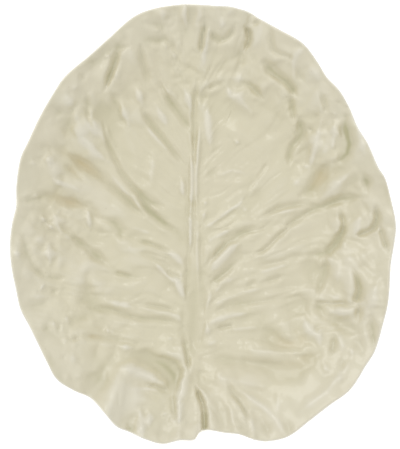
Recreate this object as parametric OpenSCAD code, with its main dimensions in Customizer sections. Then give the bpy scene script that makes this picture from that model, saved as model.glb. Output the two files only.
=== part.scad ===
// A leaf shaped plate: one pressed and glazed leaf of clay, standing on a luted ring foot.
// X runs across the leaf, Y from its stem end to its tip, and Z up. The origin is under the
// middle of the leaf, on the surface that the plate stands on.
// The leaf is a sheet on rays and rings: each ray runs from the middle of the well to the
// rim, and each ring is the same share of the way out on every ray.

/* [Leaf] */
// Length of the leaf from its stem end to its tip
leaf_length = 280; // [210:1:350]
// Width of the leaf across its widest part
leaf_width = 246; // [185:1:308]
// Rise of the rim's mean line above the floor of the well
rim_rise = 20; // [14:0.5:27]
// Furthest that the rim waves above or below its mean line
rim_wave = 5; // [2:0.5:7]
// Thickness of the clay in the floor of the well
well_wall = 5.6; // [4.6:0.1:7]
// Thickness of the clay at the rounded rim
rim_wall = 4.2; // [3.2:0.1:5]
// How far the rounding of the rim reaches inwards from its outermost line
rim_round = 1.3; // [0.8:0.1:2]

/* [Veins and folds] */
// Height of the strongest fold over the plain dish, and depth of the strongest crease
fold_height = 4; // [2:0.1:5]
// Half width of a plain fold
fold_reach = 11; // [9:0.5:13.5]
// Least thickness of clay that is left under a crease
crease_wall = 3; // [2.2:0.1:3.8]

/* [Foot] */
// Height of the leaf's flat underside above the table
foot_height = 7; // [5:0.5:10]
// Outer diameter of the ring foot at its root
foot_diameter = 124; // [96:1:150]
// Thickness of the ring foot at its root
foot_wall = 8; // [7:0.5:11]
// Radius of the fillet that the clay is smoothed into where the ring joins the leaf
foot_flare = 2.6; // [1.5:0.1:3.2]
// How far each side of the ring leans in towards its standing edge
foot_lean = 1; // [0.4:0.1:1.4]
// Radius of the rounding beside the flat land that the plate stands on
foot_round = 1.5; // [0.8:0.1:1.7]
// Width of flat clay that is left round the outside of the ring foot
foot_margin = 3; // [1:0.5:6]

/* [Hidden] */

cream = [0.87, 0.84, 0.73];
bare_clay = [0.80, 0.74, 0.62];

// The rim seen from above, clockwise from the tip, in hundredths of the half width and of the
// half length. The third value is the rim's height there, in hundredths of rim_wave.
rim_shares = [
    [-6.7, 99.3, 0], [6.2, 98.6, 50], [14, 98.2, 60], [22.3, 96.4, 10], [25.8, 95.1, -70],
    [29.4, 93, -50], [39.9, 87.7, 40], [51.8, 81.6, 60], [59.1, 73.6, 30], [64.2, 66.4, 0],
    [71, 60, 10], [76.2, 52.3, -50], [80.3, 43.6, -20], [85.5, 35.9, 50], [90.7, 25.5, 70],
    [94.5, 20, 50], [97.4, 10.9, 10], [100, -0.5, -20], [99.3, -9, -60], [97.4, -18.6, 0],
    [96.6, -30, 60], [95.5, -38, 40], [93.3, -45.9, -30], [89.6, -57.3, -50], [83.9, -65.5, 0],
    [76.2, -75.5, 60], [65.8, -82.3, 80], [55.4, -89.5, 40], [45.1, -96.4, -20],
    [34.7, -98.9, -50], [27, -98.2, -10], [19.2, -95.7, 30], [11.4, -95, 0], [3.6, -93.9, -60],
    [-1.2, -95, -90], [-4.4, -98.3, -10], [-11.9, -98.4, 40], [-20.2, -100, 20],
    [-28.5, -98.2, 40], [-37.8, -94.8, -50], [-44.5, -92, -30], [-50.8, -85.5, 70],
    [-57.5, -79.5, -70], [-66.3, -75.9, -30], [-75, -70.8, 40], [-80.3, -62.5, 60],
    [-88.1, -48.6, 10], [-93.8, -39.1, -30], [-96, -30.5, 0], [-98.4, -19.5, 40],
    [-99.2, -10, 40], [-98.2, -0.5, 10], [-96.1, 8, -50], [-96, 17, -20], [-93.8, 29.1, 40],
    [-89.6, 37.3, 20], [-83.4, 49.1, -30], [-76, 60, 40], [-70, 67.2, 40], [-58.5, 75.9, -10],
    [-48.2, 84.1, -50], [-36.8, 92.7, 40], [-27.5, 96.6, 40], [-16, 98.8, -20]
];

// Each fold is its lift in hundredths of fold_height, its reach to either side in hundredths
// of fold_reach, and the line that it follows, in hundredths of the half width and the half
// length. A fold with a lift below zero is a crease.
midrib_shares = [
    [38, 70, [[-2.5, 76], [-4, 50], [-4.6, 28], [-4.8, 0], [-4.6, -30]]],
    [-32, 45, [[-8.4, 30], [-9, 8], [-9.2, -8], [-9, -26], [-9.6, -40]]],
    [-46, 75, [[-4.4, -24], [-4.4, -44], [-5.6, -54], [-8, -65]]],
    [45, 65, [[-9, -66], [-12, -78], [-12.5, -97]]],
    [-100, 50, [[-4.5, -73], [-2.2, -80], [-0.3, -86], [0.5, -96]]],
    [-90, 45, [[0.6, 93], [-1.5, 86], [-2.4, 76]]],
    [42, 60, [[3.5, 91], [2, 80], [0.5, 68], [0.5, 45]]]
];
tip_shares = [
    [-60, 42, [[3, 91], [6, 84.5], [10, 83.5], [14, 86], [17, 92]]],
    [-95, 52, [[23, 93], [23.5, 87], [21.8, 81], [16, 75]]],
    [50, 70, [[30, 92], [28, 85], [26, 78]]],
    [-50, 45, [[2, 61], [6, 63.5], [12, 65.5]]],
    [38, 45, [[1, 63], [6, 67], [14, 69.5]]],
    [-32, 45, [[4, 68], [9, 71], [16, 76]]],
    [45, 65, [[13, 58], [15, 64], [20, 65], [21, 59], [17, 56]]],
    [-65, 45, [[22, 65], [27, 61], [30.5, 56]]],
    [-65, 48, [[-21.5, 61], [-16, 54.5], [-11.5, 48], [-8, 42]]],
    [-48, 45, [[-30, 84], [-22, 84], [-16.5, 83], [-13.5, 77]]],
    [40, 45, [[-12.5, 99], [-11.8, 90]]],
    [48, 75, [[-38, 84], [-37, 70], [-36, 60], [-31, 53]]],
    [-42, 50, [[-32, 81], [-31, 70], [-28.5, 61]]],
    [-100, 52, [[-44, 81], [-46.5, 74], [-50.5, 62]]],
    [-52, 45, [[-47, 59], [-45, 52], [-42, 46]]],
    [45, 60, [[-41, 56], [-39, 48], [-34, 43]]],
    [-40, 50, [[34.5, 91], [36, 81], [41, 77], [46, 76]]],
    [-90, 80, [[33, 75], [38, 69], [44, 65], [49, 60]]],
    [45, 55, [[52, 79], [46.5, 74], [47, 66], [52, 61]]],
    [-45, 45, [[48, 72], [50, 68], [53, 64]]]
];
left_vein_shares = [
    [-70, 75, [[-59, 61], [-59, 53], [-53, 47]]],
    [-55, 50, [[-65.5, 55], [-69, 47], [-72, 38]]],
    [45, 50, [[-62, 53], [-61, 46], [-54, 40]]],
    [-75, 50, [[-52, 45], [-50, 36], [-44, 26], [-36, 17], [-29, 8], [-20, 0], [-13, -5]]],
    [-32, 42, [[-35, 15], [-27, 11], [-18, 8]]],
    [62, 75, [[-64, 40], [-54, 32.5], [-45, 22], [-38, 13], [-31, 4]]],
    [-85, 75, [[-90, 35.5], [-81, 35], [-69, 32], [-60, 26], [-52, 20], [-43, 13], [-29, 3.5]]],
    [42, 50, [[-77, 20], [-68, 17.5], [-59, 14]]],
    [-80, 50, [[-93, 10], [-80, 14], [-71, 10], [-62, 8.5], [-57.5, 1]]],
    [45, 55, [[-85, 5], [-79, 0], [-69, -7], [-60, -14]]],
    [-80, 48, [[-78, 3], [-70, -3], [-61, -10], [-51, -15.5], [-44, -20]]],
    [45, 70, [[-40, -1], [-28, -4], [-18, -9], [-11, -17]]],
    [-55, 45, [[-38, -5.5], [-27, -8.5], [-16, -13]]],
    [-50, 40, [[-47, -21], [-36, -23.5]]],
    [-40, 40, [[-24, -15], [-19, -21], [-11, -25]]],
    [45, 50, [[-26, -17], [-20, -23], [-13, -28], [-7, -35]]],
    [42, 50, [[-50, -35], [-32, -37], [-18, -40.5], [-9, -47]]],
    [-50, 60, [[-66, -43], [-56, -38], [-46, -39], [-34, -43], [-18, -45]]],
    [-50, 45, [[-69, -51.5], [-58, -50.5], [-48, -52.5], [-38, -54]]],
    [-90, 105, [[-35, -58.5], [-24, -61], [-17, -68]]],
    [48, 65, [[-38, -65.5], [-30, -68], [-22, -71]]]
];
right_vein_shares = [
    [-75, 50, [[31, 4], [38, 7.5], [46, 11], [54, 15], [61, 21], [65, 28]]],
    [52, 48, [[35, 4], [44, 6], [52, 9], [58, 12], [66, 19], [75, 26]]],
    [-75, 50, [[44, -2], [48, 4], [56, 8.5], [66, 10], [76, 13], [86, 15]]],
    [34, 40, [[0, -3], [9, 2.5], [19, 8.5], [26, 18], [33, 28]]],
    [45, 50, [[0.5, -11], [6, -5], [14, -1.5], [22, 5]]],
    [-62, 48, [[3, -17], [8, -12], [13, -7], [20, -3], [30, -1]]],
    [58, 60, [[2.5, -22], [8, -16], [14, -9.5], [22, -6]]],
    [-65, 45, [[2, -26.5], [9, -22], [17, -15.5]]],
    [-65, 42, [[26, -13.5], [33, -9.5], [40, -3.5]]],
    [-75, 70, [[50, 47], [49, 38], [43.5, 30]]],
    [50, 80, [[62, 47], [58, 35], [54, 25]]],
    [-30, 40, [[24, -20], [36, -18], [48, -14.5], [58, -14]]],
    [38, 40, [[27, -23], [38, -20], [48, -17.5]]],
    [-42, 45, [[22, -29], [32, -26], [40, -22.5], [50, -20]]],
    [45, 52, [[4, -37], [7.5, -31], [16, -27.5], [34, -27]]],
    [-38, 45, [[6, -40], [16, -37], [34, -35.5], [52, -33]]],
    [45, 45, [[1.5, -52], [3.5, -45.5], [14, -42]]],
    [-45, 42, [[7, -48], [14, -46], [22, -44]]],
    [-60, 85, [[31, -46], [38, -50.5], [48, -54]]],
    [48, 42, [[10, -56.5], [34, -58], [53, -58.5]]],
    [-65, 58, [[14, -61.5], [36, -62.5], [51, -61.5], [54.5, -57]]]
];
rim_fold_shares = [
    [-100, 58, [[74, 51], [74, 43], [77, 36], [73, 29.5], [66, 27]]],
    [48, 60, [[79, 48], [81, 38], [84, 29]]],
    [-85, 50, [[86, 10], [91.5, 6], [91, 0], [86, -3], [79, -5]]],
    [-60, 42, [[91, -2], [94.5, -10]]],
    [48, 55, [[83, 5], [80.5, -1], [78, -7]]],
    [-95, 65, [[71, 4], [72, -3], [67.5, -9.5], [64, -14], [65, -20], [61, -30]]],
    [60, 105, [[75, -10], [71, -20], [70, -30]]],
    [-90, 52, [[77, -20], [80.5, -28], [79, -34]]],
    [-50, 42, [[59, -35.5], [68, -34.5], [79, -34.5]]],
    [62, 48, [[61, -47], [60, -55], [63, -65], [69, -64], [72, -55], [68, -47.5], [61, -46]]],
    [-80, 45, [[66, -50], [66.5, -55], [64, -60]]],
    [-55, 55, [[57, -35], [61, -41], [70, -45], [79, -47]]],
    [-60, 45, [[85, -43.5], [87.5, -53]]],
    [45, 50, [[77.5, -52], [77, -62]]],
    [-58, 48, [[13, -72], [19, -81], [27, -91]]],
    [50, 48, [[21, -76], [30, -84], [38, -90], [43, -96]]],
    [-58, 48, [[29, -87], [35, -97]]],
    [45, 50, [[11, -78], [16, -93]]],
    [78, 85, [[-40, -62], [-46, -72], [-50, -85]]],
    [-100, 105, [[-55, -65], [-57, -72], [-60, -79]]],
    [-50, 42, [[-38, -74], [-26, -74], [-18, -76], [-16, -89]]],
    [-60, 48, [[-39, -90], [-37, -95]]],
    [42, 55, [[-33, -87], [-32, -97]]],
    [45, 50, [[-81, 29], [-88, 27]]]
];

// Two rays leave the middle for each point of the rim
rays_per_point = 2;
ray_count = rays_per_point * len(rim_shares);
top_rings = 30;
lip_angles = [60, 30, 0, -30, -60];
under_rings = 6;
arc_steps = 5;

// How much of each fold shows through on the underside of the flank
print_share = 0.6;
// How much of each fold is left on the floor of the well, where food is cut and served
well_share = 0.65;
// Curve of the flank: above 1 it leaves the flat well smoothly and steepens outwards
flank_power = 1.6;
// Rings stand closer together towards the rim, where the folds are
ring_power = 0.85;

// Point at the given share of the way between b and c, on a smooth curve through a, b, c, d
function smooth_point(a, b, c, d, share) =
    b + 0.5 * share * (c - a + share * (2 * a - 5 * b + 4 * c - d + share * (3 * (b - c) + d - a)));

// One rim point for each ray, still in hundredths
function rim_point_share(ray) =
    let (
        count = len(rim_shares),
        here = floor(ray / rays_per_point),
        share = ray / rays_per_point - here
    )
    smooth_point(
        rim_shares[(here + count - 1) % count],
        rim_shares[here],
        rim_shares[(here + 1) % count],
        rim_shares[(here + 2) % count],
        share
    );

ray_shares = [for (ray = [0 : ray_count - 1]) rim_point_share(ray)];
low_share = [min([for (p = ray_shares) p.x]), min([for (p = ray_shares) p.y])];
high_share = [max([for (p = ray_shares) p.x]), max([for (p = ray_shares) p.y])];
middle_share = (low_share + high_share) / 2;
span_share = high_share - low_share;

// A place given in hundredths becomes a place on the leaf, with the leaf's box centred
function on_leaf(share) = [
    (share.x - middle_share.x) / span_share.x * leaf_width,
    (share.y - middle_share.y) / span_share.y * leaf_length
];

rim_points = [for (p = ray_shares) on_leaf(p)];
rim_waves = [for (p = ray_shares) p.z / 100 * rim_wave];

// Radius of the flat underside that the ring foot is luted to
seat_radius = foot_diameter / 2 + foot_flare + foot_margin;

// A fold ready for use: lift, reach, line on the leaf, and the box that it stays in
function made_fold(fold) =
    let (
        reach = fold[1] / 100 * fold_reach,
        line = [for (p = fold[2]) on_leaf(p)],
        xs = [for (p = line) p.x],
        ys = [for (p = line) p.y]
    )
    [
        fold[0] / 100 * fold_height, reach, line,
        min(xs) - reach, max(xs) + reach, min(ys) - reach, max(ys) + reach
    ];

folds = [
    for (group = [midrib_shares, tip_shares, left_vein_shares, right_vein_shares, rim_fold_shares])
        for (fold = group) made_fold(fold)
];

function clamped(value) = min(1, max(0, value));
function eased(value) = let (v = clamped(value)) v * v * (3 - 2 * v);

// Distance from a place to one stretch of a line, and how far along the stretch it is nearest
function stretch_gap(place, a, b) =
    let (along = clamped((place - a) * (b - a) / ((b - a) * (b - a))))
    [norm(place - a - along * (b - a)), along];

// Lift of one fold: a smooth bell across its line, fading out over its two ends
function fold_lift(fold, place) =
    let (
        line = fold[2],
        last = len(line) - 2,
        gaps = [for (i = [0 : last]) stretch_gap(place, line[i], line[i + 1])],
        near = min([for (gap = gaps) gap[0]]),
        along = max([for (i = [0 : last]) if (gaps[i][0] == near) i + gaps[i][1]]) / (last + 1),
        across = 1 - min(1, near / fold[1]) ^ 2,
        fade = eased(0.4 + 3 * min(along, 1 - along))
    )
    fold[0] * fade * across ^ 2;

// Relief of the leaf: the sum of the folds that reach a place
function relief(place) =
    let (lifts = [
        0,
        for (fold = folds)
            if (place.x > fold[3] && place.x < fold[4] && place.y > fold[5] && place.y < fold[6])
                fold_lift(fold, place)
    ])
    lifts * [for (lift = lifts) 1];

// Share of the way from the edge of the seat, 0, to the rim, 1, on a ray of the given length
function flank_share(radius, ray_length) =
    clamped((radius - seat_radius) / (ray_length - seat_radius));

// Folds are quieter over the seat and at full strength on most of the flank
function flank_lift(flank, lift) = lift * (well_share + (1 - well_share) * eased(2.5 * flank));

// Underside of the plain dish, before any fold
function plain_under(flank, wave) =
    foot_height + rim_rise * flank ^ flank_power + wave * flank ^ 2;

function under_height(flank, wave, lift) =
    plain_under(flank, wave) + print_share * lift * eased(2.5 * flank);

function top_height(flank, wave, lift) =
    max(
        plain_under(flank, wave) + well_wall + (rim_wall - well_wall) * flank + lift,
        under_height(flank, wave, lift) + crease_wall
    );

// Place and heights on one ray, at the given distance from the middle of the well
function sheet_point(ray, radius, is_top) =
    let (
        rim = rim_points[ray],
        ray_length = norm(rim) - rim_round,
        place = rim * radius / norm(rim),
        flank = flank_share(radius, ray_length),
        lift = flank_lift(flank, relief(place)),
        height = is_top
            ? top_height(flank, rim_waves[ray], lift)
            : under_height(flank, rim_waves[ray], lift)
    )
    [place.x, place.y, height];

function ray_end(ray) = norm(rim_points[ray]) - rim_round;

top_sheet = [
    for (ring = [1 : top_rings])
        [for (ray = [0 : ray_count - 1])
            sheet_point(ray, ray_end(ray) * (ring / top_rings) ^ ring_power, true)]
];
under_sheet = [
    for (ring = [under_rings : -1 : 0])
        [for (ray = [0 : ray_count - 1])
            sheet_point(
                ray,
                seat_radius + (ray_end(ray) - seat_radius) * ring / under_rings,
                false
            )]
];

// The rounded lip joins the last ring of the top to the first ring of the underside
lip_sheet = [
    for (angle = lip_angles)
        [for (ray = [0 : ray_count - 1])
            let (
                over = top_sheet[top_rings - 1][ray],
                under = under_sheet[0][ray],
                rim = rim_points[ray],
                place = rim * (1 - rim_round * (1 - cos(angle)) / norm(rim)),
                height = (over.z + under.z) / 2 + (over.z - under.z) / 2 * sin(angle)
            )
            [place.x, place.y, height]]
];

leaf_rings = concat(top_sheet, lip_sheet, under_sheet);
last_ring = len(leaf_rings) - 1;
leaf_points = [
    for (ring = leaf_rings) each ring,
    [0, 0, top_height(0, 0, flank_lift(0, relief([0, 0])))],
    [0, 0, foot_height]
];
top_middle = len(leaf_points) - 2;
under_middle = top_middle + 1;

function ring_corner(ring, ray) = ring * ray_count + ray % ray_count;

function climb(a, b) = abs(leaf_points[a].z - leaf_points[b].z);

// The two faces between two rays and two rings are split along the diagonal that climbs
// less, so that a fold that crosses the rays stays smooth
function split_faces(a, b, c, d) =
    climb(a, c) < climb(b, d) ? [[a, b, c], [a, c, d]] : [[a, b, d], [b, c, d]];

module leaf_dish() {
    walls = [
        for (ring = [0 : last_ring - 1], ray = [0 : ray_count - 1])
            each split_faces(
                ring_corner(ring, ray),
                ring_corner(ring + 1, ray),
                ring_corner(ring + 1, ray + 1),
                ring_corner(ring, ray + 1)
            )
    ];
    fans = [
        for (ray = [0 : ray_count - 1])
            each [
                [top_middle, ring_corner(0, ray), ring_corner(0, ray + 1)],
                [under_middle, ring_corner(last_ring, ray + 1), ring_corner(last_ring, ray)]
            ]
    ];
    color(cream)
        polyhedron(leaf_points, concat(walls, fans));
}

// Points of an arc about a centre, from one angle to another
function arc(centre, radius, from, to) = [
    for (step = [0 : arc_steps])
        let (angle = from + (to - from) * step / arc_steps)
        centre + radius * [cos(angle), sin(angle)]
];

// One turned ring: a fillet against the leaf, leaning sides, and a flat land to stand on
module foot_ring() {
    outer = foot_diameter / 2;
    inner = outer - foot_wall;
    fillet_z = foot_height - foot_flare;
    outer_foot = outer - foot_lean - foot_round;
    inner_foot = inner + foot_lean + foot_round;
    color(bare_clay)
        rotate_extrude($fn = 120)
            polygon(concat(
                arc([outer + foot_flare, fillet_z], foot_flare, 90, 180),
                arc([outer_foot, foot_round], foot_round, 0, -90),
                arc([inner_foot, foot_round], foot_round, -90, -180),
                arc([inner - foot_flare, fillet_z], foot_flare, 0, 90)
            ));
}

leaf_dish();
foot_ring();
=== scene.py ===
# %% [markdown]
# ## A leaf shaped plate
# The real object is one sheet of clay, pressed over a mould that was taken from a large leaf
# of cabbage, trimmed along the leaf's own edge, and luted to a turned ring foot. It is dipped
# in a soft cream glaze, which runs off the ridges and gathers in the creases. This lesson loads
# the plate's two plain solids, keeps the foot, and makes the leaf again with all its folds.

# %% The frame that everything is fitted to
import math

import bpy
import numpy as np
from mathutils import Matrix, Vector


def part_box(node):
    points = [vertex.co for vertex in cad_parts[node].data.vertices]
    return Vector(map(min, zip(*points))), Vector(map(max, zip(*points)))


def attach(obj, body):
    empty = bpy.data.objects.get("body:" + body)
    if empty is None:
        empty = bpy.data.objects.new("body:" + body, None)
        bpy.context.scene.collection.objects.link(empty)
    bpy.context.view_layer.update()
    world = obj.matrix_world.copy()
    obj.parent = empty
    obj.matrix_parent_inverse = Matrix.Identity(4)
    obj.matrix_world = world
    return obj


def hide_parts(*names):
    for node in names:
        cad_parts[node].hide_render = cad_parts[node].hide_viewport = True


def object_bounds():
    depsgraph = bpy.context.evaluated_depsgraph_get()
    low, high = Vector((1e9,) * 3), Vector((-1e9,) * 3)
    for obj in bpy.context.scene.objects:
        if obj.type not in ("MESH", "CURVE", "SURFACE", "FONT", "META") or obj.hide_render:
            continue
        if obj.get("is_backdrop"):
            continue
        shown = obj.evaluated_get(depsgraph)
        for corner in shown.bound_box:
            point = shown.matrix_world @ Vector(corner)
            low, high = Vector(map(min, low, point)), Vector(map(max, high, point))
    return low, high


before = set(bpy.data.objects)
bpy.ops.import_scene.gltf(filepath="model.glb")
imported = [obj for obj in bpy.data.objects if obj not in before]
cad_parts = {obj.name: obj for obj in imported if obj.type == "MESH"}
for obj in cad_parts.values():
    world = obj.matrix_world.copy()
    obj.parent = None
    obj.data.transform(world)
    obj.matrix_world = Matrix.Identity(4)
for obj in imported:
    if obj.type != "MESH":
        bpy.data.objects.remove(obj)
plain_box = [list(corner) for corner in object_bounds()]
leaf_low, leaf_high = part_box("leaf_dish")
foot_low, foot_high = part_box("foot_ring")
MM = 0.001
leaf_size, foot_size = np.subtract(leaf_high, leaf_low), np.subtract(foot_high, foot_low)
print("leaf", np.round(leaf_size / MM, 1), "mm, foot", np.round(foot_size / MM, 1), "mm")

# %% [markdown]
# ## The camera
# The plate is seen from straight above, lying with its tip at the top of the picture. A
# camera that hangs high over the table with a long lens shows the outline without the
# bulging that a short lens gives, so the leaf keeps its true proportions.

# %% A long lens straight above the plate
PICTURE_HIGH = 449 / 400
VIEW_HEIGHT = 285.7 * MM
SENSOR_HEIGHT = 36.0
CAMERA_DROP = 2.5
RIM_LEVEL = 29 * MM
CAMERA_PLACE = (-1.91 * MM, -0.32 * MM)


def add_object(name, data):
    """A new object in the scene."""
    new_object = bpy.data.objects.new(name, data)
    bpy.context.scene.collection.objects.link(new_object)
    return new_object


camera_data = bpy.data.cameras.new("overhead_camera")
camera_data.sensor_fit = "VERTICAL"
camera_data.sensor_height = SENSOR_HEIGHT
camera_data.lens = SENSOR_HEIGHT * CAMERA_DROP / VIEW_HEIGHT
camera = add_object("overhead_camera", camera_data)
camera.location = (*CAMERA_PLACE, RIM_LEVEL + CAMERA_DROP)
bpy.context.scene.camera = camera
print("lens", round(camera_data.lens), "mm, view", round(VIEW_HEIGHT / PICTURE_HIGH / MM), "mm wide")

# %% [markdown]
# ## The outline of the leaf
# The potter trims the clay along the leaf's own edge, so the rim is never round: it has
# notches, soft lobes and a cleft beside the stem, and it waves up and down. The outline is
# kept as 64 points, in hundredths of the half width and the half length, clockwise from the
# tip, with the height of the wave as a third value. A smooth closed curve is drawn through
# them. These are the same points as the plain solid's, and its box gives the width and the
# length, so that both leaves have one outline. The flat well reaches a little past the foot.

# %% Rim points, a smooth curve through them, and the box that they fill
LEAF_WIDTH, LEAF_LENGTH, _ = leaf_size
RIM_RISE = 20 * MM
RIM_WAVE = 5 * MM
WELL_WALL = 5.6 * MM
RIM_WALL = 4.2 * MM
RIM_ROUND = 1.3 * MM
CREASE_WALL = 3 * MM
FOOT_HEIGHT = foot_high[2]
FOOT_MARGIN = 3 * MM
SEAT_RADIUS = foot_high[0] + FOOT_MARGIN
RAYS_PER_POINT = 10

RIM_SHARES = np.array([
    [-6.7, 99.3, 0], [6.2, 98.6, 50], [14, 98.2, 60], [22.3, 96.4, 10], [25.8, 95.1, -70],
    [29.4, 93, -50], [39.9, 87.7, 40], [51.8, 81.6, 60], [59.1, 73.6, 30], [64.2, 66.4, 0],
    [71, 60, 10], [76.2, 52.3, -50], [80.3, 43.6, -20], [85.5, 35.9, 50], [90.7, 25.5, 70],
    [94.5, 20, 50], [97.4, 10.9, 10], [100, -0.5, -20], [99.3, -9, -60], [97.4, -18.6, 0],
    [96.6, -30, 60], [95.5, -38, 40], [93.3, -45.9, -30], [89.6, -57.3, -50], [83.9, -65.5, 0],
    [76.2, -75.5, 60], [65.8, -82.3, 80], [55.4, -89.5, 40], [45.1, -96.4, -20],
    [34.7, -98.9, -50], [27, -98.2, -10], [19.2, -95.7, 30], [11.4, -95, 0], [3.6, -93.9, -60],
    [-1.2, -95, -90], [-4.4, -98.3, -10], [-11.9, -98.4, 40], [-20.2, -100, 20],
    [-28.5, -98.2, 40], [-37.8, -94.8, -50], [-44.5, -92, -30], [-50.8, -85.5, 70],
    [-57.5, -79.5, -70], [-66.3, -75.9, -30], [-75, -70.8, 40], [-80.3, -62.5, 60],
    [-88.1, -48.6, 10], [-93.8, -39.1, -30], [-96, -30.5, 0], [-98.4, -19.5, 40],
    [-99.2, -10, 40], [-98.2, -0.5, 10], [-96.1, 8, -50], [-96, 17, -20], [-93.8, 29.1, 40],
    [-89.6, 37.3, 20], [-83.4, 49.1, -30], [-76, 60, 40], [-70, 67.2, 40], [-58.5, 75.9, -10],
    [-48.2, 84.1, -50], [-36.8, 92.7, 40], [-27.5, 96.6, 40], [-16, 98.8, -20],
])


def smooth_closed_curve(points, steps):
    """A smooth cubic through each point, that leaves it parallel to the line between its two
    neighbours, sampled at equal steps between one point and the next."""
    before, after, beyond = (np.roll(points, -shift, axis=0) for shift in (-1, 1, 2))
    share = (np.arange(steps) / steps)[None, :, None]
    a, b, c, d = (p[:, None, :] for p in (before, points, after, beyond))
    curve = b + 0.5 * share * (
        c - a + share * (2 * a - 5 * b + 4 * c - d + share * (3 * (b - c) + d - a))
    )
    return curve.reshape(-1, points.shape[1])


ray_shares = smooth_closed_curve(RIM_SHARES, RAYS_PER_POINT)
share_low, share_high = ray_shares[:, :2].min(axis=0), ray_shares[:, :2].max(axis=0)
share_middle, share_span = (share_low + share_high) / 2, share_high - share_low


def on_leaf(shares):
    """Hundredths of the half width and half length become a place on the leaf in metres."""
    return (np.asarray(shares, float) - share_middle) / share_span * (LEAF_WIDTH, LEAF_LENGTH)


rim_line = on_leaf(ray_shares[:, :2])
rim_waves = ray_shares[:, 2] / 100 * RIM_WAVE
RAY_COUNT = len(rim_line)
print(RAY_COUNT, "rays, rim", np.round(np.ptp(rim_line, axis=0) / MM, 1), "mm")

# %% [markdown]
# ## Midrib, veins and creases
# A cabbage leaf prints its whole skeleton into the clay: a thick midrib, side veins that climb
# from it towards the rim, creases between them, and blisters where the leaf was fuller than its
# veins. Each of them is a fold here, one row of numbers. The first is how far it lifts the
# clay, and the second how far it reaches to either side, both in hundredths of a full fold's.
# Then come the places on its line, x and y in turn, in hundredths of the half width and the
# half length. A lift below zero makes a crease. The lines were drawn on a net whose middle
# lies a little beside the middle of the outline.

# %% The midrib, the stem end and the tip
FOLD_HEIGHT = 5.4 * MM
FOLD_REACH = 14.85 * MM
NET_OFFSET = (0.4, -0.36)

MIDRIB_FOLDS = [
    [44, 20, -1.6, 46, -2, 40, -2.6, 33, -3.3, 23, -3.5, 15, -3.3, 5],
    [86, 26, -6, 31, -5.6, 22, -5.8, 14, -6, 9],
    [68, 22, -6.8, 5, -6.8, 0, -6.7, -5, -6.9, -12],
    [30, 22, -6.2, 10, -6.8, 4],
    [22, 22, -3.2, 4, -2.8, -4, -3, -12, -2.7, -20, -2.5, -31],
    [16, 66, -2.5, 80, -4, 50, -4.6, 28, -4.8, 0, -4.6, -30],
    [-58, 74, -4.4, -24, -4.4, -34, -4.4, -44, -5.6, -54, -7, -63],
    [24, 20, -6.9, 60, -6.8, 50, -6.6, 42, -6.3, 33],
    [-30, 16, -3.8, 46, -3.8, 39, -4.6, 30, -4.6, 18, -4.7, 4, -4.8, -14],
    [-20, 18, -7.4, 30, -7.4, 20, -7.8, 11],
    [-40, 16, -7.8, 12, -8, 4, -8.1, -4, -7.6, -14],
    [-36, 22, -8, -13, -8, -20, -8.2, -27, -8.6, -34],
    [-26, 30, -10, -38, -10.6, -46, -10.6, -55],
    [-56, 20, -9.6, -50, -9, -56, -8, -61, -7.2, -67],
    [-26, 24, -0.8, 2, -0.8, -14, -0.2, -30, 0.6, -44],
    [40, 52, -9, -66, -12, -78, -12.5, -97],
    [28, 24, -12.6, -78, -12.4, -84, -12.4, -90],
    [-46, 24, -15.8, -77, -15.2, -83, -14, -90],
    [-98, 20, -3.6, -74, -2.2, -77.6, 0, -81.6, 0.8, -86, 0.6, -92, -0.6, -97],
    [-70, 40, 1.4, -84, 1.6, -90, 1, -98],
    [-98, 80, 7.6, -82, 10, -88, 12, -98],
    [28, 26, -14, -25, -12.6, -30, -9.4, -34],
    [30, 26, 4.6, -30, 3, -35, 1, -40],
    [30, 24, 2, -45, 2.8, -50],
    [-26, 20, 0.4, -44, -0.4, -50, -2, -55],
]
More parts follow.
